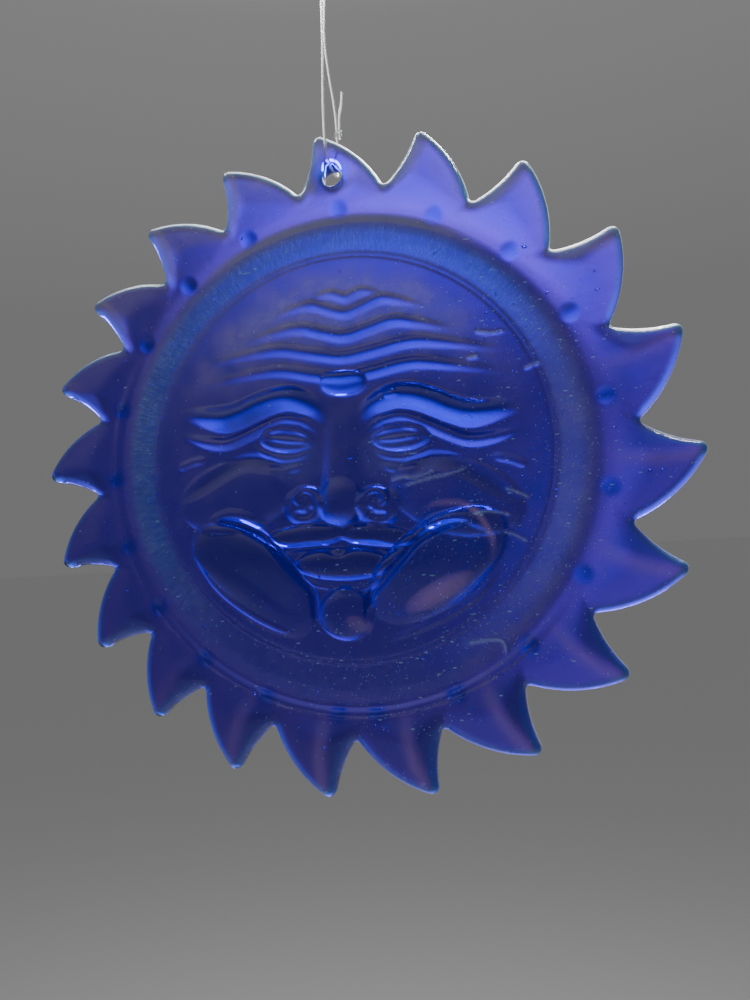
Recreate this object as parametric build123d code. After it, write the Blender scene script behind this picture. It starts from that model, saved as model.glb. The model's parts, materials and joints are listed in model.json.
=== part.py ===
from build123d import *
import os
from math import asin, cos, degrees, radians, sin, tan

# Pressed-glass sun face suncatcher on a loop of clear line, in millimetres.
#
# The origin is the top inside of the hanging loop, where a hook bears. +Z is up, and the face looks
# along -Y. The sun is drawn flat first: u to the right and v up as seen from the front, with the
# relief's height h towards the viewer, and then stood up behind the line's lower end.

# Sun outline
tip_radius = 65.0  # centre of the sun to the ray tips
ray_count = 20
valley_radius = 0.827 * tip_radius
tip_to_next_valley = 13.8  # degrees, along the ray's bulging side
valley_to_tip = 360 / ray_count - tip_to_next_valley  # degrees, along its hollow side
ray_spread = 4.5  # degrees by which the pressed rays drift from even spacing
ray_spread_from = 74.5  # degrees clockwise from the top, where that drift passes zero
ray_turn = 1.2  # degrees that turn the rays so that the hole is at the top
bulge = 1.9  # sagitta of a ray's bulging side
hollow = 0.9  # sagitta of its hollow side
tip_rounding = 1.4
valley_rounding = 0.7

# Sun thickness: heights from the mid-plane of the rays
ray_half_thickness = 2.2
edge_rounding = 1.2
ray_crown = 1.3  # height of the soft crest along each ray
foot_radius = 0.745 * tip_radius
foot_height = 0.8  # the back foot stands this far behind the rays
band_outer_radius = 0.75 * tip_radius
band_inner_radius = 0.60 * tip_radius
band_height = 2.9
band_bevel = 0.5
foot_bevel = 0.3
face_edge_height = 2.5
face_dome = 2.0  # rise of the face's field from its edge to its middle

# Face relief
face_tilt = 4.0  # degrees clockwise that the face sits off the hole's plumb line
wrinkle_radius = 0.95
wrinkles = ((30.2, 6.0), (27.6, 14.5), (23.8, 18.5), (19.4, 25.0), (15.2, 27.0))  # v, half width
wrinkle_hump = 1.3
brow_radius = 1.5
eye_spacing = 11.1
eye_height = 3.8

# Hanging hole
hole_distance = 56.4  # centre of the sun to the hole
hole_radius = 2.0
hole_land = 2.4  # length of its plain wall
flare_radius = 3.7  # of its rounded mouths

# Hanging line
line_diameter = 0.5
line_drop = 40.0  # loop's top inside to the line's middle in the hole
line_clearance = 0.05
loop_half_width = 1.5  # at the hook
strand_stand_off = 5.2  # of each strand from the rays' mid-plane, beside the top ray
knot_bottom = -30.3
knot_top = -28.5
knot_radius = 0.95
knot_rounding = 0.3
tag_offset = 0.6

line_radius = line_diameter / 2
hole_z = -line_drop + line_radius + line_clearance - hole_radius
sun_z = hole_z - hole_distance


def ray_angle(even_angle):
    """Turns an angle on evenly spaced rays into the angle on the pressed sun, clockwise from the top."""
    return even_angle + ray_spread * sin(radians(even_angle - ray_spread_from)) + ray_turn


def polar(radius, angle):
    """A point of the flat sun, from its radius and its angle clockwise from the top."""
    return Vector(radius * sin(radians(angle)), radius * cos(radians(angle)))


def side(start, end, sagitta):
    """An arc from start to end that bows out to the left of its chord by sagitta, or right if negative."""
    chord = end - start
    left = Vector(-chord.Y, chord.X).normalized()
    return ThreePointArc(start, (start + end) * 0.5 + left * sagitta, end)


def sun_outline():
    """The flat outline of the twenty curved rays, with rounded tips and valleys."""
    step = 360 / ray_count
    sides = []
    for k in range(ray_count):
        tip = polar(tip_radius + 0.8, ray_angle(k * step))
        valley_before = polar(valley_radius, ray_angle(k * step - valley_to_tip))
        valley_after = polar(valley_radius, ray_angle(k * step + tip_to_next_valley))
        sides.append(side(valley_before, tip, -hollow))
        sides.append(side(tip, valley_after, bulge))
    outline = make_face(Wire(sides))
    corners = outline.vertices()
    middle = (tip_radius + valley_radius) / 2
    tips = [c for c in corners if Vector(c).length > middle]
    outline = fillet(tips, tip_rounding)
    valleys = [c for c in outline.vertices() if Vector(c).length < valley_radius + 0.05]
    return fillet(valleys, valley_rounding)


def field_height(radius):
    """Height of the face's domed field at a distance from the centre."""
    return face_edge_height + face_dome * (1 - (radius / band_inner_radius) ** 2)


def disc(radius, low, high):
    return extrude(Pos(0, 0, low) * Circle(radius), high - low)


def ellipsoid(u, v, half_u, half_v, height, turn=0.0):
    """A rounded swelling on the face's field, height above the field at its middle."""
    base = field_height((u * u + v * v) ** 0.5)
    ball = scale(Sphere(1), (half_u, half_v, height + 1.0))
    return Pos(u, v, base - 1.0) * Rot(0, 0, turn) * ball


def arc_radii(path):
    """The largest arc that each corner of a path leaves room for."""
    runs = [(b - a).length for a, b in zip(path, path[1:])]
    radii = []
    for i in range(1, len(path) - 1):
        turn = (path[i] - path[i - 1]).get_angle(path[i + 1] - path[i])
        radii.append(0.45 * min(runs[i - 1], runs[i]) / tan(radians(turn / 2)))
    return radii


def tube(path, radius):
    """A round tube along straight runs joined by tangent arcs, and its centre line."""
    centre_line = FilletPolyline(path, radius=arc_radii(path))
    section = Plane(centre_line @ 0, z_dir=centre_line % 0) * Circle(radius)
    return sweep(section, centre_line), centre_line


def bead(points, radius):
    """A round bead laid along points (u, v) of the face's field, with its ends running down into it."""
    path = []
    for i, (u, v) in enumerate(points):
        at_end = i in (0, len(points) - 1)
        sink = 1.3 * radius if at_end else 0.35 * radius
        path.append(Vector(u, v, field_height((u * u + v * v) ** 0.5) - sink))
    return tube(path, radius)[0]


def face_relief():
    """The solids that stand on the face's field, in the face's own upright frame."""
    solids = []
    for v, half_width in wrinkles:
        wave = [(-half_width, v - 1.0), (-half_width / 2, v + wrinkle_hump), (0, v)]
        wave += [(half_width / 2, v + wrinkle_hump), (half_width, v - 1.0)]
        solids.append(bead(wave, wrinkle_radius))
    for hand in (-1, 1):
        brow = ((4.5, 9.6), (12, 12.0), (22, 10.6), (31, 6.6))
        solids.append(bead([(hand * u, v) for u, v in brow], brow_radius))
        solids.append(ellipsoid(hand * eye_spacing, eye_height, 5.8, 2.1, 1.6))
        solids.append(ellipsoid(hand * 21, -6.0, 8.0, 4.5, 1.6, turn=hand * 15))
        solids.append(ellipsoid(hand * 7.6, -10.0, 3.6, 3.2, 3.2))
        solids.append(ellipsoid(hand * 17, -24.0, 14.5, 5.6, 2.6, turn=hand * 38))
    solids.append(ellipsoid(0, 0.5, 2.9, 10.5, 2.8))
    solids.append(ellipsoid(0, -9.6, 4.8, 4.4, 5.2))
    solids.append(ellipsoid(0, -17.3, 12.0, 1.9, 2.2))
    solids.append(ellipsoid(0, -20.8, 8.6, 2.5, 2.4))
    solids.append(ellipsoid(0, -29.2, 5.6, 5.2, 2.6))
    return solids


def crest_swelling(distance, angle, width, height):
    """A low round swelling on a ray's front, height above the ray's flat at its middle."""
    ball_radius = (width * width + height * height) / (2 * height)
    top = ray_half_thickness + height
    root = degrees(asin((ball_radius - height - 0.8) / ball_radius))
    cap = Sphere(ball_radius, arc_size1=root, align=(Align.CENTER, Align.CENTER, Align.MAX))
    centre = polar(distance, angle)
    return Pos(centre.X, centre.Y, top) * cap


def ray_crest(k):
    """The soft crest along one ray: a broad swelling at its foot and a smaller one towards its tip."""
    step = 360 / ray_count
    foot_angle = ray_angle(k * step + (tip_to_next_valley - valley_to_tip) / 2)
    tip_angle = ray_angle(k * step + 2.2)
    return [
        crest_swelling(0.82 * tip_radius, foot_angle, 5.0, ray_crown),
        crest_swelling(0.90 * tip_radius, tip_angle, 2.6, 0.6 * ray_crown),
    ]


def hanging_hole():
    """The tool that cuts the hole, with a flare at each mouth."""
    land = hole_land / 2
    reach = ray_half_thickness + ray_crown + 1.0
    flare_out = flare_radius + (reach - ray_half_thickness)
    profile = Polyline(
        (0, -reach), (flare_out, -reach), (hole_radius, -land), (hole_radius, land), (flare_out, reach), (0, reach),
        close=True,
    )
    tool = revolve(Plane.XZ * make_face(profile), Axis.Z)
    return Pos(0, hole_distance, 0) * tool


def domed_field():
    """The face's field: a disc inside the ring band whose front is a shallow dome."""
    rim = (band_inner_radius, face_edge_height)
    crown = (0, face_edge_height + face_dome)
    half_way = (band_inner_radius / 2, field_height(band_inner_radius / 2))
    profile = Polyline(rim, (band_inner_radius, 0), (0, 0), crown) + ThreePointArc(crown, half_way, rim)
    return revolve(Plane.XZ * make_face(profile), Axis.Z)


def sun_glass():
    """The one-piece glass casting: rays, ring band, face, back foot and hanging hole."""
    plate = extrude(Pos(0, 0, -ray_half_thickness) * sun_outline(), 2 * ray_half_thickness)
    sun = fillet(plate.faces().filter_by(Axis.Z).edges(), edge_rounding)
    sun += [swelling for k in range(ray_count) for swelling in ray_crest(k)]
    foot = disc(foot_radius, -ray_half_thickness - foot_height, 0)
    sun += chamfer(foot.edges().group_by(Axis.Z)[0], foot_bevel)
    band = disc(band_outer_radius, 0, band_height)
    sun += chamfer(band.edges().group_by(Axis.Z)[-1], band_bevel)
    sun -= disc(band_inner_radius, face_edge_height - 1.0, band_height + 5.0)
    sun += domed_field()
    for relief in face_relief():
        sun += Rot(0, 0, -face_tilt) * relief
    sun -= hanging_hole()
    return Pos(0, 0, sun_z) * Rot(90, 0, 0) * sun


def line_route():
    """The line's route from the knot's top, over the hook, down through the hole and up to the knot."""
    back = strand_stand_off
    return [
        (0, back, knot_top),
        (0, back, -24.6),
        (-0.6, 3.6, -17.5),
        (-0.9, 2.2, -10.5),
        (-0.4, 1.6, -4.8),
        (0, loop_half_width, line_radius),
        (0, -loop_half_width, line_radius),
        (0, -1.9, -5.3),
        (0.1, -3.0, -14.0),
        (0, -4.9, -26.0),
        (0, -5.6, -33.0),
        (0, -5.5, -37.2),
        (0, -3.3, -line_drop),
        (0, 3.2, -line_drop),
        (0, 5.3, -37.3),
        (0, back, -33.8),
        (0, back, knot_bottom),
    ]


def tag_route():
    """The cut end's route, from the knot's top up and away behind the strand."""
    back = strand_stand_off
    return [
        (tag_offset, back, knot_top),
        (tag_offset, back, -25.6),
        (1.2, 5.9, -22.4),
        (1.3, 6.4, -19.4),
    ]


def line_tube(points, name):
    """A length of the line along its route, with its arcs' radii and its volume checked in print."""
    path = [Vector(*p) for p in points]
    solid, centre_line = tube(path, line_radius)
    ratio = solid.volume / (Circle(line_radius).area * centre_line.length)
    print(name, "length", round(centre_line.length, 2), "volume over section times length", round(ratio, 4))
    print(name, "arc radii", [round(r, 2) for r in arc_radii(path)])
    return solid


def line_knot():
    knot = Cylinder(knot_radius, knot_top - knot_bottom)
    knot = fillet(knot.edges().filter_by(GeomType.CIRCLE), knot_rounding)
    return Pos(tag_offset / 2, strand_stand_off, (knot_top + knot_bottom) / 2) * knot


os.makedirs("parts", exist_ok=True)
export_step(sun_glass(), "parts/sun_glass.step")
export_step(line_tube(line_route(), "hanging_line"), "parts/hanging_line.step")
export_step(line_tube(tag_route(), "line_tag_end"), "parts/line_tag_end.step")
export_step(line_knot(), "parts/line_knot.step")
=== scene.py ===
import json
from math import cos, hypot, pi, radians, sin, tanh

import bmesh
import bpy
import numpy as np
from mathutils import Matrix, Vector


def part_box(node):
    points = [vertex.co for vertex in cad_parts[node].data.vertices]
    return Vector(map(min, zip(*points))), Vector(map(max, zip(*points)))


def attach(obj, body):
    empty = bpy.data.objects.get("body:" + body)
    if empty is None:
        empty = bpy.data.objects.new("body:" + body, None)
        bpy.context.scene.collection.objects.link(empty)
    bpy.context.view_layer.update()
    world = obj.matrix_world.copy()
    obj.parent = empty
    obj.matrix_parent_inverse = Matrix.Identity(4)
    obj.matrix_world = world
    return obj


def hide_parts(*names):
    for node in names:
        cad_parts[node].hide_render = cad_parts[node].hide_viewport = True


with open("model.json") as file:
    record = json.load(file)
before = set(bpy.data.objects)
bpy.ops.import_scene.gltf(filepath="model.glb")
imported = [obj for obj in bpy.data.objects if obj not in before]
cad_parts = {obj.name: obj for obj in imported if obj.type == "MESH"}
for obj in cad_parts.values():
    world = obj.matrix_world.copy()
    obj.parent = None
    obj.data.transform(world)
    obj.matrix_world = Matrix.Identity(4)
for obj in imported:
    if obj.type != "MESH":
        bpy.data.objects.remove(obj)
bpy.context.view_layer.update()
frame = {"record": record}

import openvdb
from mathutils import Matrix, Vector

# A cobalt pressed-glass sun on a loop of clear line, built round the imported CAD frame.
#
# Blender objects are in metres, in the CAD's frame: +Z up, and the face looks along -Y. The glass is
# first worked out flat, in millimetres: u to the right and v up from the sun's centre as seen from
# the front, and h towards the viewer from the mid-plane of the rays.

MM = 0.001
rng = np.random.default_rng(7)

# ---- The frame's own places -------------------------------------------------------------------

glass_low, glass_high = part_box("sun_glass")
mounts = {mount["name"]: mount for mount in frame["record"]["mounts"]}
sun_centre = Vector((0, 0, mounts["back_face"]["pos_m"][2]))
tip_radius = (glass_high.x - glass_low.x) / 2 / MM

# ---- Sun outline, in millimetres and degrees clockwise from the top ------------------------------

corner_radius = tip_radius + 0.83  # of a ray's tip before it is rounded
ray_count = 20
ray_step = 360 / ray_count
valley_radius = 0.827 * tip_radius
tip_to_next_valley = 13.8  # degrees, along the ray's bulging side
valley_to_tip = ray_step - tip_to_next_valley  # degrees, along its hollow side
ray_spread = 4.5  # degrees that rays stray at most from even spacing
ray_spread_from = 74.5
ray_turn = 1.2
bulge = 1.9  # how far a ray's bulging side bows out from its chord
hollow = 0.9  # how far its hollow side bows in
tip_rounding = 2.1
valley_rounding = 0.9

# ---- Thickness, in millimetres ------------------------------------------------------------------

ray_half_thickness = 2.2
rim_rounding = 1.7
foot_radius = 0.745 * tip_radius
foot_height = 0.8
foot_slope_width = 5.5
band_outer_radius = 0.75 * tip_radius
band_inner_radius = 0.60 * tip_radius
band_height = 3.0
band_slope_width = 5.0
thread_width = 0.45
thread_height = 0.26
face_edge_height = 2.5
face_dome = 2.0
face_tilt = 4.0  # degrees clockwise
hole_distance = 56.4
hole_radius = 2.0
hole_mouth = 1.3


def ray_angle(even_angle):
    """Where evenly spaced rays drift to on the pressed sun."""
    return even_angle + ray_spread * sin(radians(even_angle - ray_spread_from)) + ray_turn


def polar(radius, angle):
    """The place at this distance from the sun's centre and angle from its top."""
    return np.array((radius * sin(radians(angle)), radius * cos(radians(angle))))


def wrapped(angle):
    """The same angle, from -180 to 180."""
    return (angle + 180) % 360 - 180


def circle_through(start, end, sagitta):
    """Centre and radius of the arc from start to end that bows out to the left of its chord."""
    chord = end - start
    length = hypot(*chord)
    left = np.array((-chord[1], chord[0])) / length
    radius = (length**2 / 4 + sagitta**2) / (2 * abs(sagitta))
    return (start + end) / 2 - np.sign(sagitta) * left * (radius - abs(sagitta)), radius


# ---- Ways of joining surfaces -------------------------------------------------------------------


def step(value, low, high):
    """0 below low, 1 above high, and a smooth rise between them."""
    t = np.clip((value - low) / (high - low), 0, 1)
    return t * t * (3 - 2 * t)


def rounded(away, width):
    """A bead's profile: 1 along its middle, and 0 this width away from it."""
    return np.maximum(1 - (away / width) ** 2, 0) ** 1.5


def soft_min(a, b, width):
    """The lower of two heights, blended where they are closer than the width."""
    near = np.maximum(width - np.abs(a - b), 0) / width
    return np.minimum(a, b) - near * near * width / 4


def soft_max(a, b, width):
    return -soft_min(-a, -b, width)


def round_and(a, b, radius):
    """Inside both surfaces, with the edge between them rounded."""
    edge = np.hypot(np.maximum(a + radius, 0), np.maximum(b + radius, 0))
    return np.minimum(-radius, np.maximum(a, b)) + edge


def round_or(a, b, radius):
    """Inside either surface, with the crease between them filled."""
    crease = np.hypot(np.maximum(radius - a, 0), np.maximum(radius - b, 0))
    return np.maximum(radius, np.minimum(a, b)) - crease


# ---- The rays -------------------------------------------------------------------------------------


class Ray:
    """One shark-fin ray: a hollow side up to its tip, a bulging side down from it, and a soft crest."""

    bulge_slope = 0.20
    hollow_slope = 0.38
    root_slope = 0.30
    root_gap = 0.6
    crest_softness = 0.6
    crest_window = 15.0  # degrees either side of its middle that the crest is worked out over
    mark_window = 11.0  # degrees either side of its middle that its marks are painted over
    pip_distance = 48.9
    pip_radius = 2.0
    pip_height = 0.4
    pip_after_tip = 4.0  # degrees
    pip_shift = 4.5  # degrees further from the top, for all pips but the topmost

    def __init__(self, number):
        even = number * ray_step
        tip = polar(corner_radius, ray_angle(even))
        before = polar(valley_radius, ray_angle(even - valley_to_tip))
        after = polar(valley_radius, ray_angle(even + tip_to_next_valley))
        self.hollow_centre, self.hollow_radius = circle_through(before, tip, -hollow)
        self.bulge_centre, self.bulge_radius = circle_through(tip, after, bulge)
        self.start = radians(ray_angle(even - valley_to_tip))
        self.middle = ray_angle(even + (tip_to_next_valley - valley_to_tip) / 2)
        from_top = wrapped(ray_angle(even + self.pip_after_tip))
        self.pip = polar(self.pip_distance, from_top + self.pip_shift * tanh(from_top / 12))

    def insides(self, u, v):
        """Distance in from the bulging side, and in from the hollow side."""
        from_bulge = self.bulge_radius - np.hypot(u - self.bulge_centre[0], v - self.bulge_centre[1])
        from_hollow = np.hypot(u - self.hollow_centre[0], v - self.hollow_centre[1]) - self.hollow_radius
        return from_bulge, from_hollow

    def off_middle(self, angle):
        """Degrees away from the ray's middle."""
        return np.abs(wrapped(angle - self.middle))

    def off_crest(self, from_bulge, from_hollow):
        """Above 0 on the crest's hollow side, and below 0 on its bulging side."""
        return (self.bulge_slope * from_bulge - self.hollow_slope * from_hollow) / 0.55

    def outline(self, u, v):
        """Distance to the ray's rounded outline, negative inside."""
        from_bulge, from_hollow = self.insides(u, v)
        before_start = v * sin(self.start) - u * cos(self.start)
        return np.maximum(round_and(-from_bulge, -from_hollow, tip_rounding), before_start)

    def crest(self, u, v, radius, angle):
        """Height of the petal's facets over the ray's flat."""
        from_bulge, from_hollow = self.insides(u, v)
        bulge_facet = self.bulge_slope * from_bulge
        hollow_facet = self.hollow_slope * from_hollow
        root_facet = self.root_slope * (radius - band_outer_radius - self.root_gap)
        sides = soft_min(bulge_facet, hollow_facet, self.crest_softness)
        height = soft_min(sides, root_facet, self.crest_softness)
        return np.where(self.off_middle(angle) < self.crest_window, height, -1.0)


rays = [Ray(number) for number in range(ray_count)]


def rim_distance(u, v):
    """Distance to the sun's outline, negative inside."""
    distance = np.hypot(u, v) - valley_radius
    for ray in rays:
        distance = round_or(distance, ray.outline(u, v), valley_rounding)
    return distance


def pips(u, v):
    """Height of the small round pip at each ray's root."""
    height = np.zeros_like(u)
    for ray in rays:
        away = np.hypot(u - ray.pip[0], v - ray.pip[1])
        height += ray.pip_height * rounded(away, ray.pip_radius)
    return height


def petals(u, v):
    """Height of all the rays' crests over the rays' flat."""
    radius = np.hypot(u, v)
    angle = np.degrees(np.arctan2(u, v))
    height = np.zeros_like(u)
    for ray in rays:
        height = soft_max(height, ray.crest(u, v, radius, angle), 0.25)
    from_hole = np.hypot(u, v - hole_distance)
    return np.maximum(height, 0) * step(from_hole, hole_radius + 0.6, hole_radius + 4.5)


# ---- The face, in its own upright frame ----------------------------------------------------------


def curve_points(points, runs=6):
    """A smooth curve through the points, as short runs."""
    p = np.array([points[0], *points, points[-1]], float)
    t = np.linspace(0, 1, runs, endpoint=False)[:, None]
    pieces = []
    for a, b, c, d in zip(p, p[1:], p[2:], p[3:]):
        pieces.append(0.5 * (2 * b + (c - a) * t + (2 * a - 5 * b + 4 * c - d) * t**2
                             + (3 * b - a - 3 * c + d) * t**3))
    return np.vstack([*pieces, p[-1:]])


def stroke(u, v, points, width, height, ends=0.25):
    """A rounded ridge along a curve, or a groove if its height is negative, which fades at its ends."""
    line = curve_points(points)
    result = np.zeros_like(u)
    near = ((u > line[:, 0].min() - width) & (u < line[:, 0].max() + width)
            & (v > line[:, 1].min() - width) & (v < line[:, 1].max() + width))
    if not near.any():
        return result
    pu, pv = u[near], v[near]
    best, along = np.full_like(pu, 1e9), np.zeros_like(pu)
    lengths = np.hypot(*np.diff(line, axis=0).T)
    total, done = lengths.sum(), 0.0
    for (au, av), (bu, bv), length in zip(line, line[1:], lengths):
        t = np.clip(((pu - au) * (bu - au) + (pv - av) * (bv - av)) / max(length, 1e-6) ** 2, 0, 1)
        distance = np.hypot(pu - au - t * (bu - au), pv - av - t * (bv - av))
        closer = distance < best
        best = np.where(closer, distance, best)
        along = np.where(closer, (done + t * length) / total, along)
        done += length
    fade = step(along, -0.02, ends) * step(1 - along, -0.02, ends)
    result[near] = height * fade * rounded(best, width * (0.55 + 0.45 * fade))
    return result


def lobe(u, v, centre, halves, turn, height, crisp=0.35):
    """A rounded swelling with an elliptical foot, steeper at its edge as crisp gets smaller."""
    c, s = cos(radians(turn)), sin(radians(turn))
    du, dv = u - centre[0], v - centre[1]
    x = (du * c + dv * s) / halves[0]
    y = (dv * c - du * s) / halves[1]
    level = np.maximum(1 - x * x - y * y, 0)
    return height * (1 + crisp) * level / (level + crisp)


# v, half width, bead width and bead height of each forehead wrinkle, from the hair line down
wrinkles = (
    (30.6, 7.0, 1.2, 0.5),
    (27.5, 15.5, 1.35, 0.65),
    (23.0, 20.5, 1.5, 0.8),
    (18.9, 29.0, 1.5, 0.8),
    (14.8, 29.0, 1.5, 0.8),
)

# One wrinkle's wave: across as a share of its half width, its rise in humps, and its rise in mm
wrinkle_wave = (
    (-1.0, 0.0, -0.7),
    (-0.72, 0.6, 0.0),
    (-0.45, 1.1, 0.0),
    (-0.2, 0.3, 0.0),
    (0.0, 0.0, -0.3),
    (0.2, 0.5, 0.0),
    (0.45, 1.5, 0.0),
    (0.72, 1.0, 0.0),
    (1.0, 0.0, 0.2),
)


def forehead(u, v):
    """The wavy wrinkles, fainter on the viewer's left, with a bump over each brow and the nose."""
    height = np.zeros_like(u)
    fainter = 0.55 + 0.45 * step(u, -22, 6)
    for level, half, width, rise in wrinkles:
        hump = 1.5 if half > 10 else 0.6
        wave = [(share * half, level + humps * hump + more) for share, humps, more in wrinkle_wave]
        height += stroke(u, v, wave, width, rise, ends=0.3) * fainter
    height += lobe(u, v, (9.4, 10.9), (1.4, 0.9), 10, 0.45, crisp=0.5)
    return height + lobe(u, v, (0, 13.6), (4.6, 2.6), 0, 1.2, crisp=0.5)


def brow(u, v, hand):
    """One brow; hand is -1 on the viewer's left."""
    line = [(3.2, 6.0), (5.6, 8.9), (9.5, 10.6), (13, 10.7), (17, 9.6), (21, 8.0), (25, 7.4), (33, 8.8)]
    return stroke(hand * u, v, line, 3.0, 2.2, ends=0.3)


def brow_and_eye(u, v, hand):
    """One brow, the fold under it, and the hooded eye between its lids."""
    x = hand * u
    height = brow(u, v, hand)
    fold = [(4.2, 3.4), (6.6, 5.7), (11, 6.9), (15, 5.8), (19, 4.0), (23.5, 2.4), (28, 2.8), (33.5, 4.4)]
    height += stroke(x, v, fold, 1.5, 0.9)
    height += lobe(x, v, (11.1, 2.9), (5.6, 2.6), 2, 1.2, crisp=0.6)
    upper_lid = [(5.3, 2.3), (8.0, 4.5), (11.2, 5.2), (14.2, 4.4), (16.8, 2.6)]
    height += stroke(x, v, upper_lid, 0.8, 0.36)
    above_slit = [(5.8, 2.7), (8.6, 3.3), (11.8, 3.7), (16.2, 3.9)]
    height -= stroke(x, v, above_slit, 0.8, 0.38)
    below_slit = [(6.2, 2.0), (9.0, 1.7), (12.2, 2.0), (15.6, 2.8)]
    height -= stroke(x, v, below_slit, 0.7, 0.35)
    lower_lid = [(5.6, 0.9), (8.4, -0.4), (11.5, -0.7), (14.8, 0.0), (17.6, 1.6)]
    height += stroke(x, v, lower_lid, 0.9, 0.38)
    bag = [(7.2, -2.0), (11.0, -3.0), (15.4, -2.4)]
    return height + stroke(x, v, bag, 1.0, 0.4)


def leaf_lobe(u, v, hand, height, crisp):
    """The big leaf-shaped lobe beside the chin."""
    below = step(-v, 19, 30)
    leaf = lobe(hand * u, v, (17.9, -22.3 + 1.8 * hand), (15.0, 7.8), 37, height, crisp + 0.5 * below)
    leaf = leaf * (1 - 0.6 * below)
    trimmed = 1 - step(np.hypot(u, v), band_inner_radius - 4.2, band_inner_radius - 1.6)
    return leaf * trimmed * step(hand * u, 4.4, 6.6)


def cheek(u, v, hand):
    """One cheek, the groove over it, and the leaf lobe with the folds round it."""
    x = hand * u
    height = lobe(x, v, (21.5, -8.0), (12.5, 7.2), -12, 1.5, crisp=0.7)
    groove = [(10.0, -3.4), (15.0, -1.9), (19.5, -1.5), (26.0, -4.6), (33.5, -9.2)]
    height -= stroke(x, v, groove, 2.1, 0.7)
    laugh_line = [(27.5, -0.6), (31.0, -1.2), (34.5, -2.6)]
    height += stroke(x, v, laugh_line, 1.1, 0.5)
    ridge = [(13.8, -14.2), (18.0, -12.2), (22.5, -11.6), (28.0, -14.0)]
    height += stroke(x, v, ridge, 1.4, 0.6)
    height += leaf_lobe(u, v, hand, 3.0, crisp=0.16)
    swell = [(27.0, -19.5), (22.0, -24.2), (15.5, -28.8), (9.5, -31.5)]
    height += stroke(x, v, swell, 3.0, 0.6, ends=0.4)
    fold = [(24.5, -12.6), (19.5, -13.4), (14.6, -16.2), (11.6, -19.6), (8.2, -23.4)]
    fold += [(5.6, -26.6), (5.0, -33.5)]
    height -= stroke(x, v, fold, 1.0, 1.1, ends=0.2)
    leaf_rim = [(29.6, -20.4), (24.5, -26.4), (17.0, -31.2), (8.0, -34.8)]
    return height + stroke(x, v, leaf_rim, 0.9, 0.45)


def nose(u, v):
    """The bridge, which widens downwards, the tip and the two curled nostrils."""
    slope = np.clip((9 - v) / 18, 0, 1)
    half = 3.6 + 0.9 * slope
    bridge = np.maximum(1 - (u / half) ** 4, 0) ** 1.4 * (0.8 + 1.7 * slope)
    bridge *= step(v, -11.5, -6.5) * (1 - step(v, 5.0, 12.0))
    height = soft_max(bridge, lobe(u, v, (0, -9.2), (4.7, 5.0), 0, 3.7, crisp=0.8), 1.8)
    for hand in (-1, 1):
        x = hand * u
        height = soft_max(height, lobe(x, v, (6.9, -9.8), (4.7, 4.0), -8, 2.3, crisp=0.6), 1.2)
        curl = [(4.0, -12.2), (3.9, -9.4), (5.2, -7.2), (7.4, -6.8), (8.6, -8.6), (6.9, -9.9)]
        height += stroke(x, v, curl, 1.0, 0.9)
        height -= stroke(x, v, [(5.2, -9.6), (6.4, -11.4), (9.2, -11.4)], 1.0, 0.7)
    return height


def mouth(u, v):
    """The lips, the line between them, the fold under them and the chin."""
    upper_left = lobe(u, v, (-6.6, -15.4), (8.4, 2.2), 5, 1.6, crisp=0.5)
    upper_right = lobe(u, v, (6.6, -15.2), (8.2, 2.2), -4, 1.6, crisp=0.5)
    lower = lobe(u, v, (0.3, -20.6), (9.8, 3.2), 2, 2.0, crisp=0.5)
    height = soft_max(soft_max(upper_left, upper_right, 0.8), lower, 0.7)
    line = [(-14.6, -16.4), (-11.2, -18.2), (-7.4, -17.6), (-4.2, -17.4), (-0.4, -18.7)]
    line += [(2.6, -17.2), (6.4, -16.9), (10.2, -17.6), (13.6, -16.4)]
    height -= stroke(u, v, line, 0.9, 0.5, ends=0.12)
    fold = [(-8.8, -22.2), (-5.4, -24.4), (0.6, -25.2), (6.0, -24.5), (9.8, -21.4)]
    height += stroke(u, v, fold, 0.8, 0.5)
    chin = lobe(u, v, (0.9, -30.0), (5.4, 5.0), 0, 2.2, crisp=0.45)
    return height + chin


# Threads and cracks on the right of the casting, as runs of points in the flat sun's own frame
threads = (
    ((8.7, -5.9), (11.4, -5.4), (13.8, -5.6), (17.7, -4.4)),
    ((11.3, -7.1), (16.1, -6.0), (19.0, -5.6), (23.3, -4.4)),
    ((29.5, -8.6), (31.7, -9.5), (33.9, -10.7)),
    ((23.7, -13.1), (26.5, -12.7), (30.5, -13.5)),
    ((28.7, -16.3), (30.7, -17.1), (32.9, -18.4)),
    ((34.4, 12.9), (37.5, 14.0)),
    ((26.0, 20.8), (28.7, 20.2), (31.5, 20.4)),
    ((24.2, 15.7), (26.6, 16.1)),
    ((20.7, -36.3), (26.7, -35.8), (27.8, -38.8)),
)


def face_frame(u, v):
    """The flat sun's u and v, turned into the tilted face's own."""
    t = radians(face_tilt)
    return u * cos(t) - v * sin(t), u * sin(t) + v * cos(t)


def face_relief(u, v):
    """Height of the face's features over the domed field."""
    fu, fv = face_frame(u, v)
    height = forehead(fu, fv) + nose(fu, fv) + mouth(fu, fv)
    for hand in (-1, 1):
        height += brow_and_eye(fu, fv, hand) + cheek(fu, fv, hand)
    return height


# ---- The casting ----------------------------------------------------------------------------------


def ring_band(radius):
    """Height of the ring band and of its slope down to the rays' flat."""
    fallen = step(radius, band_outer_radius - band_slope_width, band_outer_radius - 0.8)
    return ray_half_thickness + (band_height - ray_half_thickness) * (1 - fallen)


def ring_beads(u, v, radius):
    """Height of the bead along the band's lower left edge, and of the fine one round the face."""
    low_left = step(-v - 0.6 * u, -5, 32)
    beads = 0.8 * low_left * rounded(radius - band_outer_radius, 1.2)
    return beads + 0.3 * rounded(radius - band_inner_radius - 0.3, 0.6)


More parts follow.
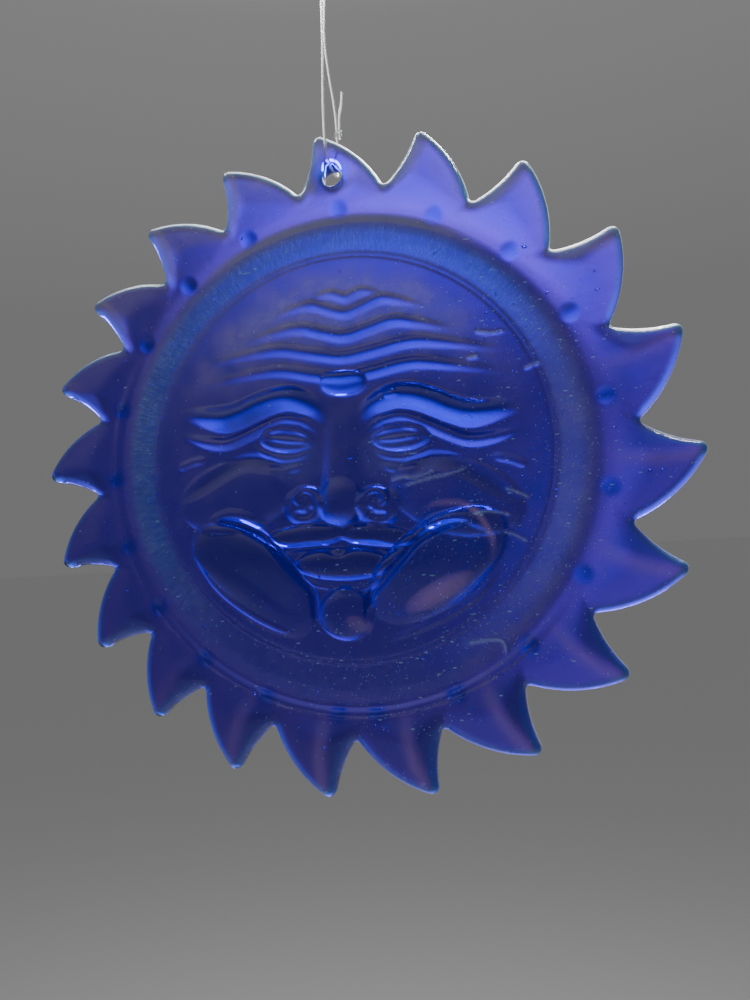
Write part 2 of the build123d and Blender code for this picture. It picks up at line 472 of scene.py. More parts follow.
def front_height(u, v):
    """Height of the casting's front."""
    radius = np.hypot(u, v)
    rays_height = ray_half_thickness + petals(u, v)
    height = np.where(radius < band_outer_radius, ring_band(radius), rays_height)
    height = height + ring_beads(u, v, radius) + pips(u, v)
    inside = radius < band_inner_radius + 1
    field = face_edge_height + face_dome * (1 - (radius / band_inner_radius) ** 2)
    field[inside] += face_relief(u[inside], v[inside])
    edge = step(radius, band_inner_radius - 0.6, band_inner_radius + 0.3)
    height = field * (1 - edge) + height * edge
    for thread in threads:
        height += stroke(u, v, thread, thread_width, thread_height, ends=0.1)
    return height


def back_depth(u, v):
    """Depth of the plain back, with its round foot."""
    fallen = step(np.hypot(u, v), foot_radius - foot_slope_width, foot_radius + 0.2)
    return ray_half_thickness + foot_height * (1 - fallen)


def flat_fields(u, v):
    """All that depends only on the place on the flat sun."""
    from_hole = np.hypot(u, v - hole_distance) - hole_radius
    return front_height(u, v), back_depth(u, v), rim_distance(u, v), from_hole


def solid(fields, h):
    """Negative inside the glass."""
    front, back, rim, from_hole = fields
    body = round_and(round_and(rim, h - front, rim_rounding), -h - back, rim_rounding)
    return round_and(body, -from_hole, hole_mouth)


def glass_surface(cell):
    """The glass's closed surface as points (u, v, h) and quads, from a grid of this cell size."""
    half, behind, in_front = tip_radius + 1.5, -4.2, 11.5
    far = 3 * cell
    across = np.arange(-half, half + cell, cell)
    deep = np.arange(behind, in_front, cell)
    u, v = np.meshgrid(across, across, indexing="ij")
    fields = [field.reshape(u.shape)[:, :, None] for field in flat_fields(u.ravel(), v.ravel())]
    values = np.clip(solid(fields, deep[None, None, :]), -far, far).astype(np.float32)
    grid = openvdb.FloatGrid(far)
    grid.copyFromArray(values)
    points, quads = grid.convertToQuads()
    return points.astype(float) * cell + (across[0], across[0], deep[0]), quads


def field_and_slope(points, reach=0.02):
    """The solid's field at each point and its gradient."""
    u, v, h = points.T
    here = flat_fields(u, v)
    value = solid(here, h)
    slope = np.stack([
        solid(flat_fields(u + reach, v), h) - value,
        solid(flat_fields(u, v + reach), h) - value,
        solid(here, h + reach) - value,
    ], axis=1) / reach
    return value, slope


def settle(points, rounds=2, most=0.2):
    """Moves the points onto the exact surface and gives its normals."""
    least_square = 0.2  # of the slope's length, so that no point is thrown far where it is flat
    for _ in range(rounds):
        value, slope = field_and_slope(points)
        move = -slope * (value / np.maximum((slope**2).sum(1), least_square))[:, None]
        points = points + np.clip(move, -most, most)
    _, slope = field_and_slope(points)
    return points, slope / np.maximum(np.linalg.norm(slope, axis=1), 1e-6)[:, None]


def stand_up(points):
    """Flat millimetres to the CAD's frame in metres."""
    u, v, h = np.asarray(points).T
    return np.stack([u, -h, v], axis=1) * MM + np.array(sun_centre)


def add_layer(mesh, name, values):
    """Stores one value for each of the mesh's points, for its material to read."""
    layer = mesh.attributes.new(name, "FLOAT", "POINT")
    layer.data.foreach_set("value", np.asarray(values, np.float32))


# ---- Materials ------------------------------------------------------------------------------------


def new_material(name):
    """A material with its nodes, its links and its principled shader."""
    material = bpy.data.materials.new(name)
    material.use_nodes = True
    nodes, links = material.node_tree.nodes, material.node_tree.links
    return material, nodes, links, nodes["Principled BSDF"]


class Graph:
    """Short ways of adding nodes to one material."""

    def __init__(self, material_nodes, material_links):
        self.nodes, self.links = material_nodes, material_links
        self.place = self.nodes.new("ShaderNodeTexCoord").outputs["Object"]

    def feed(self, socket, value):
        """Sets an input to a number, or links it to another node's output."""
        if isinstance(value, (int, float)):
            socket.default_value = value
        else:
            self.links.new(value, socket)

    def layer(self, name):
        """The mesh's stored layer of this name."""
        node = self.nodes.new("ShaderNodeAttribute")
        node.attribute_name = name
        return node.outputs["Fac"]

    def sums(self, operation, a, b=0.0):
        node = self.nodes.new("ShaderNodeMath")
        node.operation = operation
        self.feed(node.inputs[0], a)
        self.feed(node.inputs[1], b)
        return node.outputs[0]

    def add(self, *values):
        total = values[0]
        for value in values[1:]:
            total = self.sums("ADD", total, value)
        return total

    def times(self, a, b):
        return self.sums("MULTIPLY", a, b)

    def noise(self, scale, detail=3.0, place=None):
        node = self.nodes.new("ShaderNodeTexNoise")
        node.inputs["Scale"].default_value = scale
        node.inputs["Detail"].default_value = detail
        self.links.new(self.place if place is None else place, node.inputs["Vector"])
        return node.outputs["Fac"]

    def spread(self, value, low, high):
        """0 up to low, 1 from high, and a straight rise between them."""
        node = self.nodes.new("ShaderNodeMapRange")
        node.inputs["From Min"].default_value = low
        node.inputs["From Max"].default_value = high
        self.links.new(value, node.inputs["Value"])
        return node.outputs["Result"]

    def tint(self, under, colour, share):
        """Colour laid over what's under it, by share."""
        node = self.nodes.new("ShaderNodeMix")
        node.data_type = "RGBA"
        node.inputs["B"].default_value = (*colour, 1)
        if isinstance(under, tuple):
            node.inputs["A"].default_value = (*under, 1)
        else:
            self.links.new(under, node.inputs["A"])
        self.links.new(share, node.inputs["Factor"])
        return node.outputs["Result"]


# Scale, slant in degrees, stretch, size and share of cells filled, for each kind of pit or dash
speck_kinds = (
    (900.0, 30, 3.0, 0.12, 0.45),
    (1500.0, -25, 1.0, 0.17, 0.34),
    (300.0, 38, 6.0, 0.04, 0.6),
)


def specks(graph, seeds):
    """Fine pits and dashes, drawn out along a slant, where the seeds layer asks for them."""
    found = None
    for scale, slant, stretch, reach, most in speck_kinds:
        mapping = graph.nodes.new("ShaderNodeMapping")
        mapping.inputs["Rotation"].default_value = (0, radians(slant), 0)
        mapping.inputs["Scale"].default_value = (1 / stretch, 1, 1)
        graph.links.new(graph.place, mapping.inputs["Vector"])
        cells = graph.nodes.new("ShaderNodeTexVoronoi")
        cells.inputs["Scale"].default_value = scale
        graph.links.new(mapping.outputs["Vector"], cells.inputs["Vector"])
        chosen = graph.nodes.new("ShaderNodeSeparateColor")
        graph.links.new(cells.outputs["Color"], chosen.inputs["Color"])
        close = graph.sums("LESS_THAN", cells.outputs["Distance"], reach)
        kept = graph.sums("LESS_THAN", chosen.outputs["Red"], graph.times(seeds, most))
        spot = graph.times(close, kept)
        found = spot if found is None else graph.sums("MAXIMUM", found, spot)
    return found


def band_hairs(graph):
    """Hair-fine streaks that run out from the sun's centre."""
    hairs_round, hairs_out = 110.0, 330.0  # noise cells to a radian, and to a metre outwards
    parts = graph.nodes.new("ShaderNodeSeparateXYZ")
    graph.links.new(graph.place, parts.inputs[0])
    across = parts.outputs["X"]
    up = graph.sums("SUBTRACT", parts.outputs["Z"], sun_centre.z)
    out = graph.sums("SQRT", graph.add(graph.times(across, across), graph.times(up, up)))
    place = graph.nodes.new("ShaderNodeCombineXYZ")
    graph.links.new(graph.times(graph.sums("ARCTAN2", across, up), hairs_round), place.inputs["X"])
    graph.links.new(graph.times(out, hairs_out), place.inputs["Y"])
    return graph.spread(graph.noise(1.0, 2.0, place.outputs["Vector"]), 0.36, 0.66)


class GlassMarks:
    """The layers stored on the casting's mesh, and the patterns that its material makes of them."""

    def __init__(self, graph):
        add, times = graph.add, graph.times
        self.wall, self.crest, self.film_and_glow = graph.layer("wall"), graph.layer("crest"), graph.layer("film_and_glow")
        self.shade, self.deep, self.painted_grey_reflection = graph.layer("shade"), graph.layer("deep"), graph.layer("painted_grey_reflection")
        self.dust_and_highlight = graph.layer("dust_and_highlight")
        self.hairs = band_hairs(graph)

        clouds = graph.spread(graph.noise(120.0), 0.30, 0.70)
        flecks = graph.spread(graph.noise(700.0, 2.0), 0.30, 0.70)
        milky = graph.layer("haze")
        self.haze = times(milky, add(milky, times(flecks, graph.sums("SUBTRACT", 1.0, milky))))
        self.hair_haze = times(self.haze, add(0.30, times(self.hairs, 0.45), times(clouds, 0.35)))

        self.striae = graph.spread(graph.noise(1500.0, 2.0), 0.30, 0.70)
        # Whitish dust on the upper rims, partly a painted highlight of the light from above, broken into
        # patches and striae.
        broken = graph.spread(graph.noise(150.0, 1.0), 0.36, 0.60)
        worn_dust_and_highlight = times(self.dust_and_highlight, add(0.25, times(broken, 0.75)))
        self.wall_dust_and_highlight = times(worn_dust_and_highlight, add(0.45, times(self.striae, 0.65)))

        scratches = times(graph.layer("threads"), 0.8)
        self.speck = graph.sums("MAXIMUM", specks(graph, graph.layer("seeds")), scratches)
        # Patches of the film, which carry its painted glow too.
        self.patches = times(self.film_and_glow, graph.spread(graph.noise(200.0), 0.15, 0.70))


def glass_roughness(graph, marks):
    """How rough the skin is, which each of its marks adds to."""
    times = graph.times
    return graph.add(
        0.02,
        times(marks.hair_haze, 0.27),
        times(marks.dust_and_highlight, 0.40),
        times(graph.noise(90.0), 0.05),
        times(marks.speck, 0.35),
        times(marks.film_and_glow, 0.13),
    )


def glass_clearness(graph, marks):
    """The share of light that goes through the skin: less under haze, the dust with its painted highlight,
    specks, and the film with its painted glow.
    """
    times = graph.times
    cloudiness = graph.add(
        times(marks.hair_haze, 0.32),
        times(marks.wall_dust_and_highlight, 0.75),
        times(marks.speck, 0.45),
        times(marks.patches, 0.36),
        times(marks.crest, 0.30),
        times(marks.painted_grey_reflection, 0.6),
        0.015,
    )
    return graph.sums("SUBTRACT", 1.0, graph.sums("MINIMUM", cloudiness, 1.0))


def glass_colour(graph, marks):
    """The skin's colour: plain cobalt with the tint of each mark laid over it in turn."""
    times = graph.times
    bright_hairs = times(marks.haze, graph.spread(marks.hairs, 0.55, 1.0))
    tints = (
        # The film's pale tint is partly a painted glow, strongest where the light from above falls.
        ((0.70, 0.62, 0.86), marks.film_and_glow),
        ((0.33, 0.50, 1.0), marks.haze),
        ((0.32, 0.57, 1.0), bright_hairs),
        # Painted shade darkens the colour here.
        ((0.20, 0.14, 0.52), times(marks.shade, 0.85)),
        # The mauve tint beside the crests is a painted sheen.
        ((0.84, 0.48, 0.88), marks.crest),
        ((0.14, 0.66, 1.0), times(marks.wall, 0.9)),
        ((0.04, 0.03, 1.0), times(marks.deep, 0.9)),
        # Painted grey reflection of the room above and in front.
        ((0.26, 0.29, 0.36), times(marks.painted_grey_reflection, 0.85)),
        # The rims' whitish dust is partly a painted highlight.
        ((0.84, 0.87, 0.95), marks.wall_dust_and_highlight),
        ((0.45, 0.78, 1.0), marks.speck),
    )
    colour = (0.58, 0.27, 0.98)
    for tint, share in tints:
        colour = graph.tint(colour, tint, share)
    return colour


def glass_grain(graph, marks):
    """A faint waviness of the skin, with the band's hairs and the striae of the rims' dust and painted
    highlight in it.
    """
    times = graph.times
    bump = graph.nodes.new("ShaderNodeBump")
    bump.inputs["Strength"].default_value = 0.25
    bump.inputs["Distance"].default_value = 0.0004
    hair_grain = times(times(marks.hairs, marks.haze), 0.22)
    rim_grain = times(times(marks.striae, marks.dust_and_highlight), 0.8)
    graph.links.new(graph.add(graph.noise(160.0), hair_grain, rim_grain), bump.inputs["Height"])
    return bump.outputs["Normal"]


def glass_material():
    """Cobalt glass: a body that absorbs all but blue, under a pressed skin with its marks."""
    material, nodes, links, shader = new_material("cobalt_glass")
    shader.inputs["IOR"].default_value = 1.52
    graph = Graph(nodes, links)
    marks = GlassMarks(graph)
    links.new(glass_roughness(graph, marks), shader.inputs["Roughness"])
    links.new(glass_clearness(graph, marks), shader.inputs["Transmission Weight"])
    links.new(glass_colour(graph, marks), shader.inputs["Base Color"])
    links.new(glass_grain(graph, marks), shader.inputs["Normal"])

    absorb = nodes.new("ShaderNodeVolumeAbsorption")
    absorb.inputs["Color"].default_value = (0.22, 0.02, 0.92, 1)
    absorb.inputs["Density"].default_value = 500.0
    links.new(absorb.outputs["Volume"], nodes["Material Output"].inputs["Volume"])
    return material


def line_material():
    """Clear monofilament, a little scuffed."""
    material, nodes, links, shader = new_material("clear_line")
    shader.inputs["Base Color"].default_value = (0.93, 0.95, 0.93, 1)
    shader.inputs["IOR"].default_value = 1.53
    shader.inputs["Transmission Weight"].default_value = 0.75
    noise = nodes.new("ShaderNodeTexNoise")
    noise.inputs["Scale"].default_value = 900.0
    place = nodes.new("ShaderNodeTexCoord")
    links.new(place.outputs["Object"], noise.inputs["Vector"])
    ramp = nodes.new("ShaderNodeMapRange")
    ramp.inputs["To Min"].default_value = 0.06
    ramp.inputs["To Max"].default_value = 0.24
    links.new(noise.outputs["Fac"], ramp.inputs["Value"])
    links.new(ramp.outputs["Result"], shader.inputs["Roughness"])
    bump = nodes.new("ShaderNodeBump")
    bump.inputs["Strength"].default_value = 0.15
    bump.inputs["Distance"].default_value = 0.00003
    links.new(noise.outputs["Fac"], bump.inputs["Height"])
    links.new(bump.outputs["Normal"], shader.inputs["Normal"])
    return material


def floor_material():
    material, _, _, shader = new_material("pale_floor")
    shader.inputs["Base Color"].default_value = (0.515, 0.515, 0.51, 1)
    shader.inputs["Roughness"].default_value = 0.9
    return material


# ---- Camera -----------------------------------------------------------------------------------

view_turn = 11.70  # degrees that the camera looks to the left of +Y
view_tilt = 3.97  # degrees that it looks up
view_roll = -3.37
camera_from_sun = Vector((0.4935, -2.0358, -0.2786)) * tip_radius * MM  # numbers in tip radii

camera_data = bpy.data.cameras.new("camera")
camera_data.sensor_width = 36.0
camera_data.lens = 25.2
camera_data.clip_start = 0.01
camera_data.clip_end = 100.0
camera = bpy.data.objects.new("camera", camera_data)
bpy.context.scene.collection.objects.link(camera)
turned = Matrix.Rotation(radians(view_turn), 4, "Z") @ Matrix.Rotation(radians(90 + view_tilt), 4, "X")
turned = turned @ Matrix.Rotation(radians(view_roll), 4, "Z")
camera.matrix_world = Matrix.Translation(sun_centre + camera_from_sun) @ turned
bpy.context.scene.camera = camera

# ---- The hanging line ---------------------------------------------------------------------------

line_diameter = 0.0005

# The line's route, from the knot's top, over the hook, down through the hole and up to the knot
line_route = (
    (0, 0.0052, -0.0285),
    (0, 0.0052, -0.0246),
    (-0.0006, 0.0036, -0.0175),
    (-0.0009, 0.0022, -0.0105),
    (-0.0004, 0.0016, -0.0048),
    (0, 0.0015, 0.00025),
    (0, -0.0015, 0.00025),
    (0, -0.0019, -0.0053),
    (0.0001, -0.0030, -0.0140),
    (0, -0.0049, -0.0260),
    (0, -0.0056, -0.0330),
    (0, -0.0055, -0.0372),
    (0, -0.0033, -0.0400),
    (0, 0.0032, -0.0400),
    (0, 0.0053, -0.0373),
    (0, 0.0052, -0.0338),
    (0, 0.0052, -0.0303),
)

# The cut end's route, from the knot's top up and away behind the strand
tag_route = (
    (0.0006, 0.0052, -0.0285),
    (0.0006, 0.0052, -0.0256),
    (0.0012, 0.0059, -0.0224),
    (0.0013, 0.0064, -0.0194),
)


def line_piece(name, points, radius, material):
    """A smooth round line with the points as its control points."""
    curve = bpy.data.curves.new(name, "CURVE")
    curve.dimensions = "3D"
    spline = curve.splines.new("NURBS")
    spline.points.add(len(points) - 1)
    for control, place in zip(spline.points, points):
        control.co = (*place, 1)
    spline.order_u = 3
    spline.use_endpoint_u = True
    spline.resolution_u = 12
    curve.bevel_depth = radius
    curve.bevel_resolution = 5
    curve.use_fill_caps = True
    curve.materials.append(material)
    piece = bpy.data.objects.new(name, curve)
    bpy.context.scene.collection.objects.link(piece)
    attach(piece, "line")
    return piece


def knot_piece(material):
    """Turns of the line wound tight round its two strands, with a crossing turn over them."""
    low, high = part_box("line_knot")
    middle = (low + high) / 2
    turns, per_turn = 3.4, 14
    wind_radius = 0.00052
    rise = (high.z - low.z) - 1.1 * line_diameter
    points = []
    for i in range(int(turns * per_turn) + 1):
        angle = 2 * pi * i / per_turn
        share = i / (turns * per_turn)
        squeeze = 1 + 0.16 * cos(2 * angle)
        points.append((
            middle.x + wind_radius * squeeze * cos(angle),
            middle.y + wind_radius * 0.9 * sin(angle),
            low.z + 0.55 * line_diameter + rise * share,
        ))
    last = Vector(points[-1])
    points.append(tuple(last + Vector((0.0001, 0.0002, -0.0007))))
    points.append((middle.x + 0.0001, middle.y + 0.00062, middle.z))
    points.append((middle.x - 0.0002, middle.y + 0.00055, low.z + 0.0003))
    return line_piece("line_knot_wraps", points, 0.46 * line_diameter, material)


clear_line = line_material()
line = line_piece("clear_line_loop", line_route, line_diameter / 2, clear_line)
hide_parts("hanging_line")
tag = line_piece("clear_line_tag_end", tag_route, line_diameter / 2, clear_line)
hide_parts("line_tag_end")
knot = knot_piece(clear_line)
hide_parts("line_knot")

# ---- The glass ------------------------------------------------------------------------------------


def ray_glass(u, v):
    """For each ray: itself, the distances in from its two sides, and which points are on it."""
    angle = np.degrees(np.arctan2(u, v))
    for ray in rays:
        from_bulge, from_hollow = ray.insides(u, v)
        on_ray = (ray.off_middle(angle) < ray.mark_window) & (from_bulge > 0) & (from_hollow > 0)
        yield ray, from_bulge, from_hollow, on_ray


def painted_crest_sheen_share(u, v, h):
    """1 where the glass gets a mauve tint: a painted sheen beside the lower rays' crests, and mauve patches
    on the face.
    """
    radius = np.hypot(u, v)
    share = np.zeros_like(u)
    for ray, from_bulge, from_hollow, on_ray in ray_glass(u, v):
        beside = np.exp(-((ray.off_crest(from_bulge, from_hollow) + 1.0) ** 2) * 0.55)
        share = np.where(on_ray, np.maximum(share, beside), share)
    outward = step(radius, band_outer_radius - 3, band_outer_radius + 6)
    share = 0.6 * share * outward * step(u - v, -30, 60)
    share += 1.0 * lobe(u, v, (16.5, -26.5), (7.5, 2.2), 27, 1.0, crisp=0.6)
    share += 0.6 * lobe(u, v, (1.5, -31.8), (2.6, 1.6), -30, 1.0, crisp=0.6)
    arc = [(13.8, -12.0), (17.3, -10.6), (21.9, -10.9), (25.0, -13.5), (26.8, -17.8), (26.3, -21.9)]
    share += stroke(u, v, arc, 0.9, 0.9)
    return np.minimum(share, 1) * step(h, 0.5, 1.5)


def ray_side_share(u, v):
    """1 down each ray's hollow side, and less along the edge of its bulging side."""
    share = np.zeros_like(u)
    for ray, from_bulge, from_hollow, on_ray in ray_glass(u, v):
        hollow_side = step(ray.off_crest(from_bulge, from_hollow), -0.2, 1.1)
        bulge_edge = 0.7 * (1 - step(from_bulge, 0.9, 2.6)) * step(from_bulge, 0.3, 0.9)
        sides = np.maximum(hollow_side, bulge_edge)
        share = np.where(on_ray & (from_hollow > 0.6), np.maximum(share, sides), share)
    return share * step(np.hypot(u, v), band_outer_radius + 0.5, band_outer_radius + 4.5)


def grey_side_share(u, v):
    """1 beside each upper ray's hollow side, and less beside its bulging side, where a grey reflection is
    painted.
    """
    share = np.zeros_like(u)
    for _, from_bulge, from_hollow, on_ray in ray_glass(u, v):
        hollow_side = 1 - step(from_hollow, 2.6, 4.2)
        bulge_side = 0.6 * (1 - step(from_bulge, 0.8, 2.2))
        share = np.where(on_ray, np.maximum(share, np.maximum(hollow_side, bulge_side)), share)
    outward = step(np.hypot(u, v), band_outer_radius + 2.5, band_outer_radius + 6)
    return share * outward * step(v, 8, 38)


def shade_share(u, v):
    """Painted shade: the lower rays' sides, the lips, the leaf lobes and the creases."""
    share = ray_side_share(u, v) * (1 - step(v, 0, 40))
    fu, fv = face_frame(u, v)
    lips = (((-6.6, -15.4), (8.6, 1.9), 5), ((6.6, -15.2), (8.2, 1.9), -4), ((0.3, -20.6), (9.6, 2.9), 2))
    for centre, halves, turn in lips:
        share = np.maximum(share, 0.9 * lobe(fu, fv, centre, halves, turn, 1.0, crisp=0.15))
    crease = [(10.0, -3.0), (15.0, -1.5), (19.5, -1.3), (26.0, -4.6), (33.5, -9.4)]
    for hand, leaf_depth in ((-1, 0.85), (1, 0.6)):
        share = np.maximum(share, leaf_lobe(fu, fv, hand, leaf_depth, crisp=0.3))
        share = np.maximum(share, stroke(hand * fu, fv, crease, 2.0, 0.9))
    return share


def pip_share(u, v):
    """1 on the rays' pips, and less round the hanging hole."""
    share = np.zeros_like(u)
    for ray in rays:
        share = np.maximum(share, 1 - step(np.hypot(u - ray.pip[0], v - ray.pip[1]), 0.9, 2.9))
    return np.maximum(share, 0.7 * (1 - step(np.hypot(u, v - hole_distance), 2.6, 5.0)))


def bead_share(u, v):
    """1 on the forehead's wrinkles and the brows."""
    fu, fv = face_frame(u, v)
    return step(forehead(fu, fv) + brow(fu, fv, -1) + brow(fu, fv, 1), 0.1, 0.9)


def seed_share(u, v):
    """Where the casting has its pits and bubbles: most to the right and low down."""
    radius = np.hypot(u, v)
    share = 0.12 + 0.90 * step(0.8 * u - 0.45 * v, -12, 34) * (1 - 0.7 * step(radius, 50, 56))
    share += 0.9 * np.exp(-((radius - band_inner_radius) / 1.4) ** 2) * step(0.5 * u - v, 5, 35)
    share += 0.45 * np.exp(-((radius - band_inner_radius - 3.5) / 3.0) ** 2)
    return share + 1.1 * np.exp(-((u - 31) ** 2 + (v - 22) ** 2) / 70)


def band_share(radius):
    """1 on the ring band, with soft edges."""
    share = step(radius, band_inner_radius - 1.2, band_inner_radius + 2.2)
    return share * (1 - step(radius, band_outer_radius - 4.6, band_outer_radius - 0.8))


def right_share(u, v):
    """1 on the sun's right."""
    return step(u - 0.2 * v, 22, 44)


def haze_share(u, v, on_skin, on_front):
    """Where the skin is milky: the ring band, and on the front a patch round each eye."""
    hazy_band = band_share(np.hypot(u, v)) * (0.4 + 0.6 * step(v, -42, -12)) * (1 - 0.5 * right_share(u, v))
    milky = 0.6 * lobe(u, v, (-9.0, -0.4), (6.2, 5.4), 0, 1.0, crisp=0.8)
    milky += 0.6 * lobe(u, v, (9.0, -0.8), (6.6, 5.6), 0, 1.0, crisp=0.8)
    return np.maximum(hazy_band * on_skin, milky * on_front)


def film_and_glow_share(u, v):
    """How thick the pale film is, which is partly a real film and partly a painted glow of the light from
    above: most towards the top and the upper rims, and least on the band.
    """
    radius = np.hypot(u, v)
    film_and_glow = 0.12 + 0.88 * step(v, 5, 60) * (0.55 + 0.45 * step(rim_distance(u, v), -6.5, -1.5))
    # On the face the film is painted light: a lift of the mid-tones, more towards the top.
    film_and_glow += (0.25 * step(v, -30, 30) + 0.65 * step(v, 8, 32)) * (1 - step(radius, 32, band_inner_radius))
    on_band, right = band_share(radius), right_share(u, v)
    # The pale tint on the band's right is painted light, for the brighter light on that side.
    return film_and_glow * (1 - 0.8 * on_band * (1 - right)) + 0.45 * on_band * right


def painted_grey_reflection_share(u, v):
    """Painted grey reflection: 1 along the top of the band's outer edge, and less on the upper rays' grey
    sides.
    """
    radius = np.hypot(u, v)
    painted_grey_reflection = step(radius, band_outer_radius - 3.4, band_outer_radius - 2.4)
    painted_grey_reflection = painted_grey_reflection * (1 - step(radius, band_outer_radius - 1.4, band_outer_radius - 0.6)) * step(v, 36, 44)
    return np.maximum(painted_grey_reflection, 0.6 * grey_side_share(u, v))


def glass_layers(flat, normals, on_skin):
    """The layers that the glass's material reads, by name."""
    u, v, h = flat.T
    on_front = on_skin * step(h, 0.3, 1.2)
    wall = step(np.hypot(normals[:, 0], normals[:, 1]), 0.20, 0.60) * step(np.hypot(u, v), 50.0, 52.0)
    deep = np.maximum(pip_share(u, v), 0.65 * bead_share(u, v)) * on_front
    scratches = sum(stroke(u, v, thread, 0.42, 1.0, ends=0.1) for thread in threads)
    return {
        "haze": haze_share(u, v, on_skin, on_front),
        # Painted mauve sheen beside the crests, and mauve patches on the face.
        "crest": painted_crest_sheen_share(u, v, h) * on_skin,
        "seeds": seed_share(u, v) * on_skin,
        # The film is partly a painted glow of the light from above.
        "film_and_glow": film_and_glow_share(u, v) * (1 - deep) * on_front,
        "deep": deep,
        # Painted grey reflection along the band's top and the upper rays' sides.
        "painted_grey_reflection": painted_grey_reflection_share(u, v) * on_front,
        # Painted shade on the lower rays' sides, the lips, the leaf lobes and the creases.
        "shade": shade_share(u, v) * on_front,
        "wall": wall,
        # Dust only on the upward-facing rims and more towards the top: partly a painted highlight of the
        # light from above.
        "dust_and_highlight": wall * step(normals[:, 1], 0.30, 0.85) * (0.3 + 0.7 * step(v, -5, 35)),
        "threads": scratches * on_front,
    }


def inward_ball():
    """Points and faces of a unit ball whose faces look inwards."""
    ball = bmesh.new()
    bmesh.ops.create_icosphere(ball, subdivisions=2, radius=1.0)
    ball.verts.ensure_lookup_table()
    points = np.array([vert.co for vert in ball.verts])
    faces = np.array([[vert.index for vert in face.verts][::-1] for face in ball.faces])
    ball.free()
    return points, faces


def bubbles(count=170):
    """Small closed voids inside the glass, as points and faces that look inwards."""
    shape, faces = inward_ball()
    farthest, nearest_rim, nearest_hole, least_cover = 60.0, 2.2, 5, 0.7
    points, triangles = [], []
    while len(points) < count:
        radius, angle = farthest * np.sqrt(rng.random()), 2 * pi * rng.random()
        u, v = radius * sin(angle), radius * cos(angle)
        top = front_height(np.array([u]), np.array([v]))[0]
        rim = rim_distance(np.array([u]), np.array([v]))[0]
        size = 0.10 + 0.26 * rng.random() ** 3
        h = -1.6 + (top + 0.9) * rng.random()
        unwanted = rng.random() > seed_share(u, v)
        at_edge = rim > -nearest_rim or hypot(u, v - hole_distance) < nearest_hole or h > top - least_cover
        if unwanted or at_edge:
            continue
        slant = radians(rng.normal(35, 25))
        long = size * (1 + 1.3 * rng.random() ** 2)
        x, y, z = shape[:, 0] * long, shape[:, 1] * size, shape[:, 2] * 0.8 * size
        across = x * cos(slant) - y * sin(slant)
        up = x * sin(slant) + y * cos(slant)
        triangles.append(faces + len(points) * len(shape))
        points.append(np.stack([across, up, z], axis=1) + (u, v, h))
    return np.vstack(points), np.vstack(triangles)


def glass_mesh():
    """The casting's mesh: its skin on a fine grid, the bubbles in it, and its material's layers."""
    skin, quads = glass_surface(0.36)
    skin, skin_normals = settle(skin)
    voids, triangles = bubbles()
    flat = np.vstack([skin, voids])
    normals = np.vstack([skin_normals, np.tile((0.0, 0.0, 1.0), (len(voids), 1))])
    on_skin = np.arange(len(flat)) < len(skin)
    mesh = bpy.data.meshes.new("sun_glass_casting")
    mesh.from_pydata(stand_up(flat).tolist(), [], quads.tolist() + (triangles + len(skin)).tolist())
    mesh.shade_smooth()
    for name, values in glass_layers(flat, normals, on_skin).items():
        add_layer(mesh, name, values)
    return mesh


def glass_piece(material):
    """The whole casting as one piece on its body."""
    mesh = glass_mesh()
    mesh.materials.append(material)
    piece = bpy.data.objects.new("sun_glass_casting", mesh)
    bpy.context.scene.collection.objects.link(piece)
    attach(piece, "glass")
    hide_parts("sun_glass")
    return piece


glass_piece(glass_material())

# ---- Floor, world and lights ------------------------------------------------------------------------


def floor():
    """A plain pale floor well below the hanging sun."""
    drop, half = 0.80, 60.0
    z = sun_centre.z - drop
    corners = [(-half, -half, z), (half, -half, z), (half, half, z), (-half, half, z)]
    mesh = bpy.data.meshes.new("floor")
    mesh.from_pydata(corners, [], [(0, 1, 2, 3)])
    mesh.materials.append(floor_material())
    piece = bpy.data.objects.new("floor", mesh)
    bpy.context.scene.collection.objects.link(piece)


# Height looked at, from 0 at the horizon to 1 straight up, and the room's grey level there
world_stops = ((0.0, 0.17), (0.3, 0.17), (0.62, 0.22), (0.8, 0.38), (0.95, 0.42))
world_blue = 1.02


def studio_world():
    """A plain grey room that gets lighter towards its ceiling."""
    world = bpy.data.worlds.new("studio")
    world.use_nodes = True
    bpy.context.scene.world = world
    nodes, links = world.node_tree.nodes, world.node_tree.links
    nodes.clear()
    place = nodes.new("ShaderNodeTexCoord")
    parts = nodes.new("ShaderNodeSeparateXYZ")
    ramp = nodes.new("ShaderNodeValToRGB")
    background = nodes.new("ShaderNodeBackground")
    output = nodes.new("ShaderNodeOutputWorld")
    links.new(place.outputs["Generated"], parts.inputs[0])
    links.new(parts.outputs["Z"], ramp.inputs["Fac"])
    links.new(ramp.outputs["Color"], background.inputs["Color"])
    links.new(background.outputs["Background"], output.inputs["Surface"])
    background.inputs["Strength"].default_value = 1.0
    elements = ramp.color_ramp.elements
    while len(elements) > 1:
        elements.remove(elements[-1])
    for i, (height, level) in enumerate(world_stops):
        element = elements[0] if i == 0 else elements.new(height)
        element.position = height
        element.color = (level, level, level * world_blue, 1)


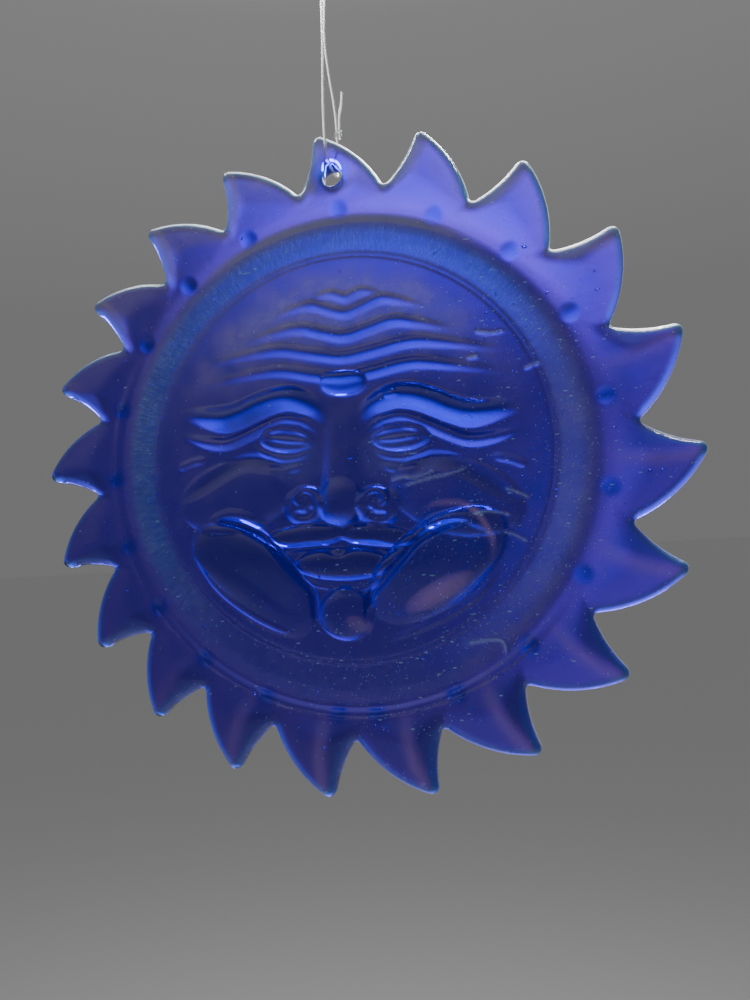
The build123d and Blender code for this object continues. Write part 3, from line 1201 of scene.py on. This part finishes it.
def lamp(name, place, size, radiance, soft_edges=True):
    """A rectangular lamp that faces the glass sun from this place, in metres from its centre."""
    light = bpy.data.lights.new(name, "AREA")
    light.shape = "RECTANGLE"
    light.size, light.size_y = size
    light.energy = radiance * pi * size[0] * size[1]
    if soft_edges:
        fade_edges(light)
    holder = bpy.data.objects.new(name, light)
    holder.location = sun_centre + Vector(place)
    holder.rotation_euler = (-Vector(place)).to_track_quat("-Z", "Y").to_euler()
    bpy.context.scene.collection.objects.link(holder)


def fade_edges(light):
    """Dims a lamp smoothly from its middle to its edges, as a softbox's cloth does."""
    light.use_nodes = True
    nodes, links = light.node_tree.nodes, light.node_tree.links
    place = nodes.new("ShaderNodeNewGeometry")
    parts = nodes.new("ShaderNodeSeparateXYZ")
    links.new(place.outputs["Parametric"], parts.inputs[0])
    fades = []
    for axis in "XY":
        rise = nodes.new("ShaderNodeMath")
        rise.operation = "PINGPONG"
        rise.inputs[1].default_value = 0.5
        links.new(parts.outputs[axis], rise.inputs[0])
        smooth = nodes.new("ShaderNodeMapRange")
        smooth.interpolation_type = "SMOOTHSTEP"
        smooth.inputs["From Min"].default_value = 0.0
        smooth.inputs["From Max"].default_value = 0.5
        links.new(rise.outputs[0], smooth.inputs["Value"])
        fades.append(smooth.outputs["Result"])
    both = nodes.new("ShaderNodeMath")
    both.operation = "MULTIPLY"
    links.new(fades[0], both.inputs[0])
    links.new(fades[1], both.inputs[1])
    links.new(both.outputs[0], nodes["Emission"].inputs["Strength"])


floor()
studio_world()
lamp("back_softbox", (0.06, 0.56, 0.45), (1.25, 0.76), 2.5)
lamp("low_back_softbox", (0.42, 0.80, -0.06), (1.5, 1.0), 0.5)
lamp("top_strip", (0.0, 0.16, 0.52), (0.8, 0.08), 30.0, soft_edges=False)
lamp("back_sparkle", (0.03, 0.36, 0.46), (0.36, 0.09), 70.0, soft_edges=False)
lamp("front_fill", (-0.8, -0.70, 1.10), (3.2, 3.2), 0.34)

# ---- Final update of the scene ----------------------------------------------------------------------

bpy.context.view_layer.update()
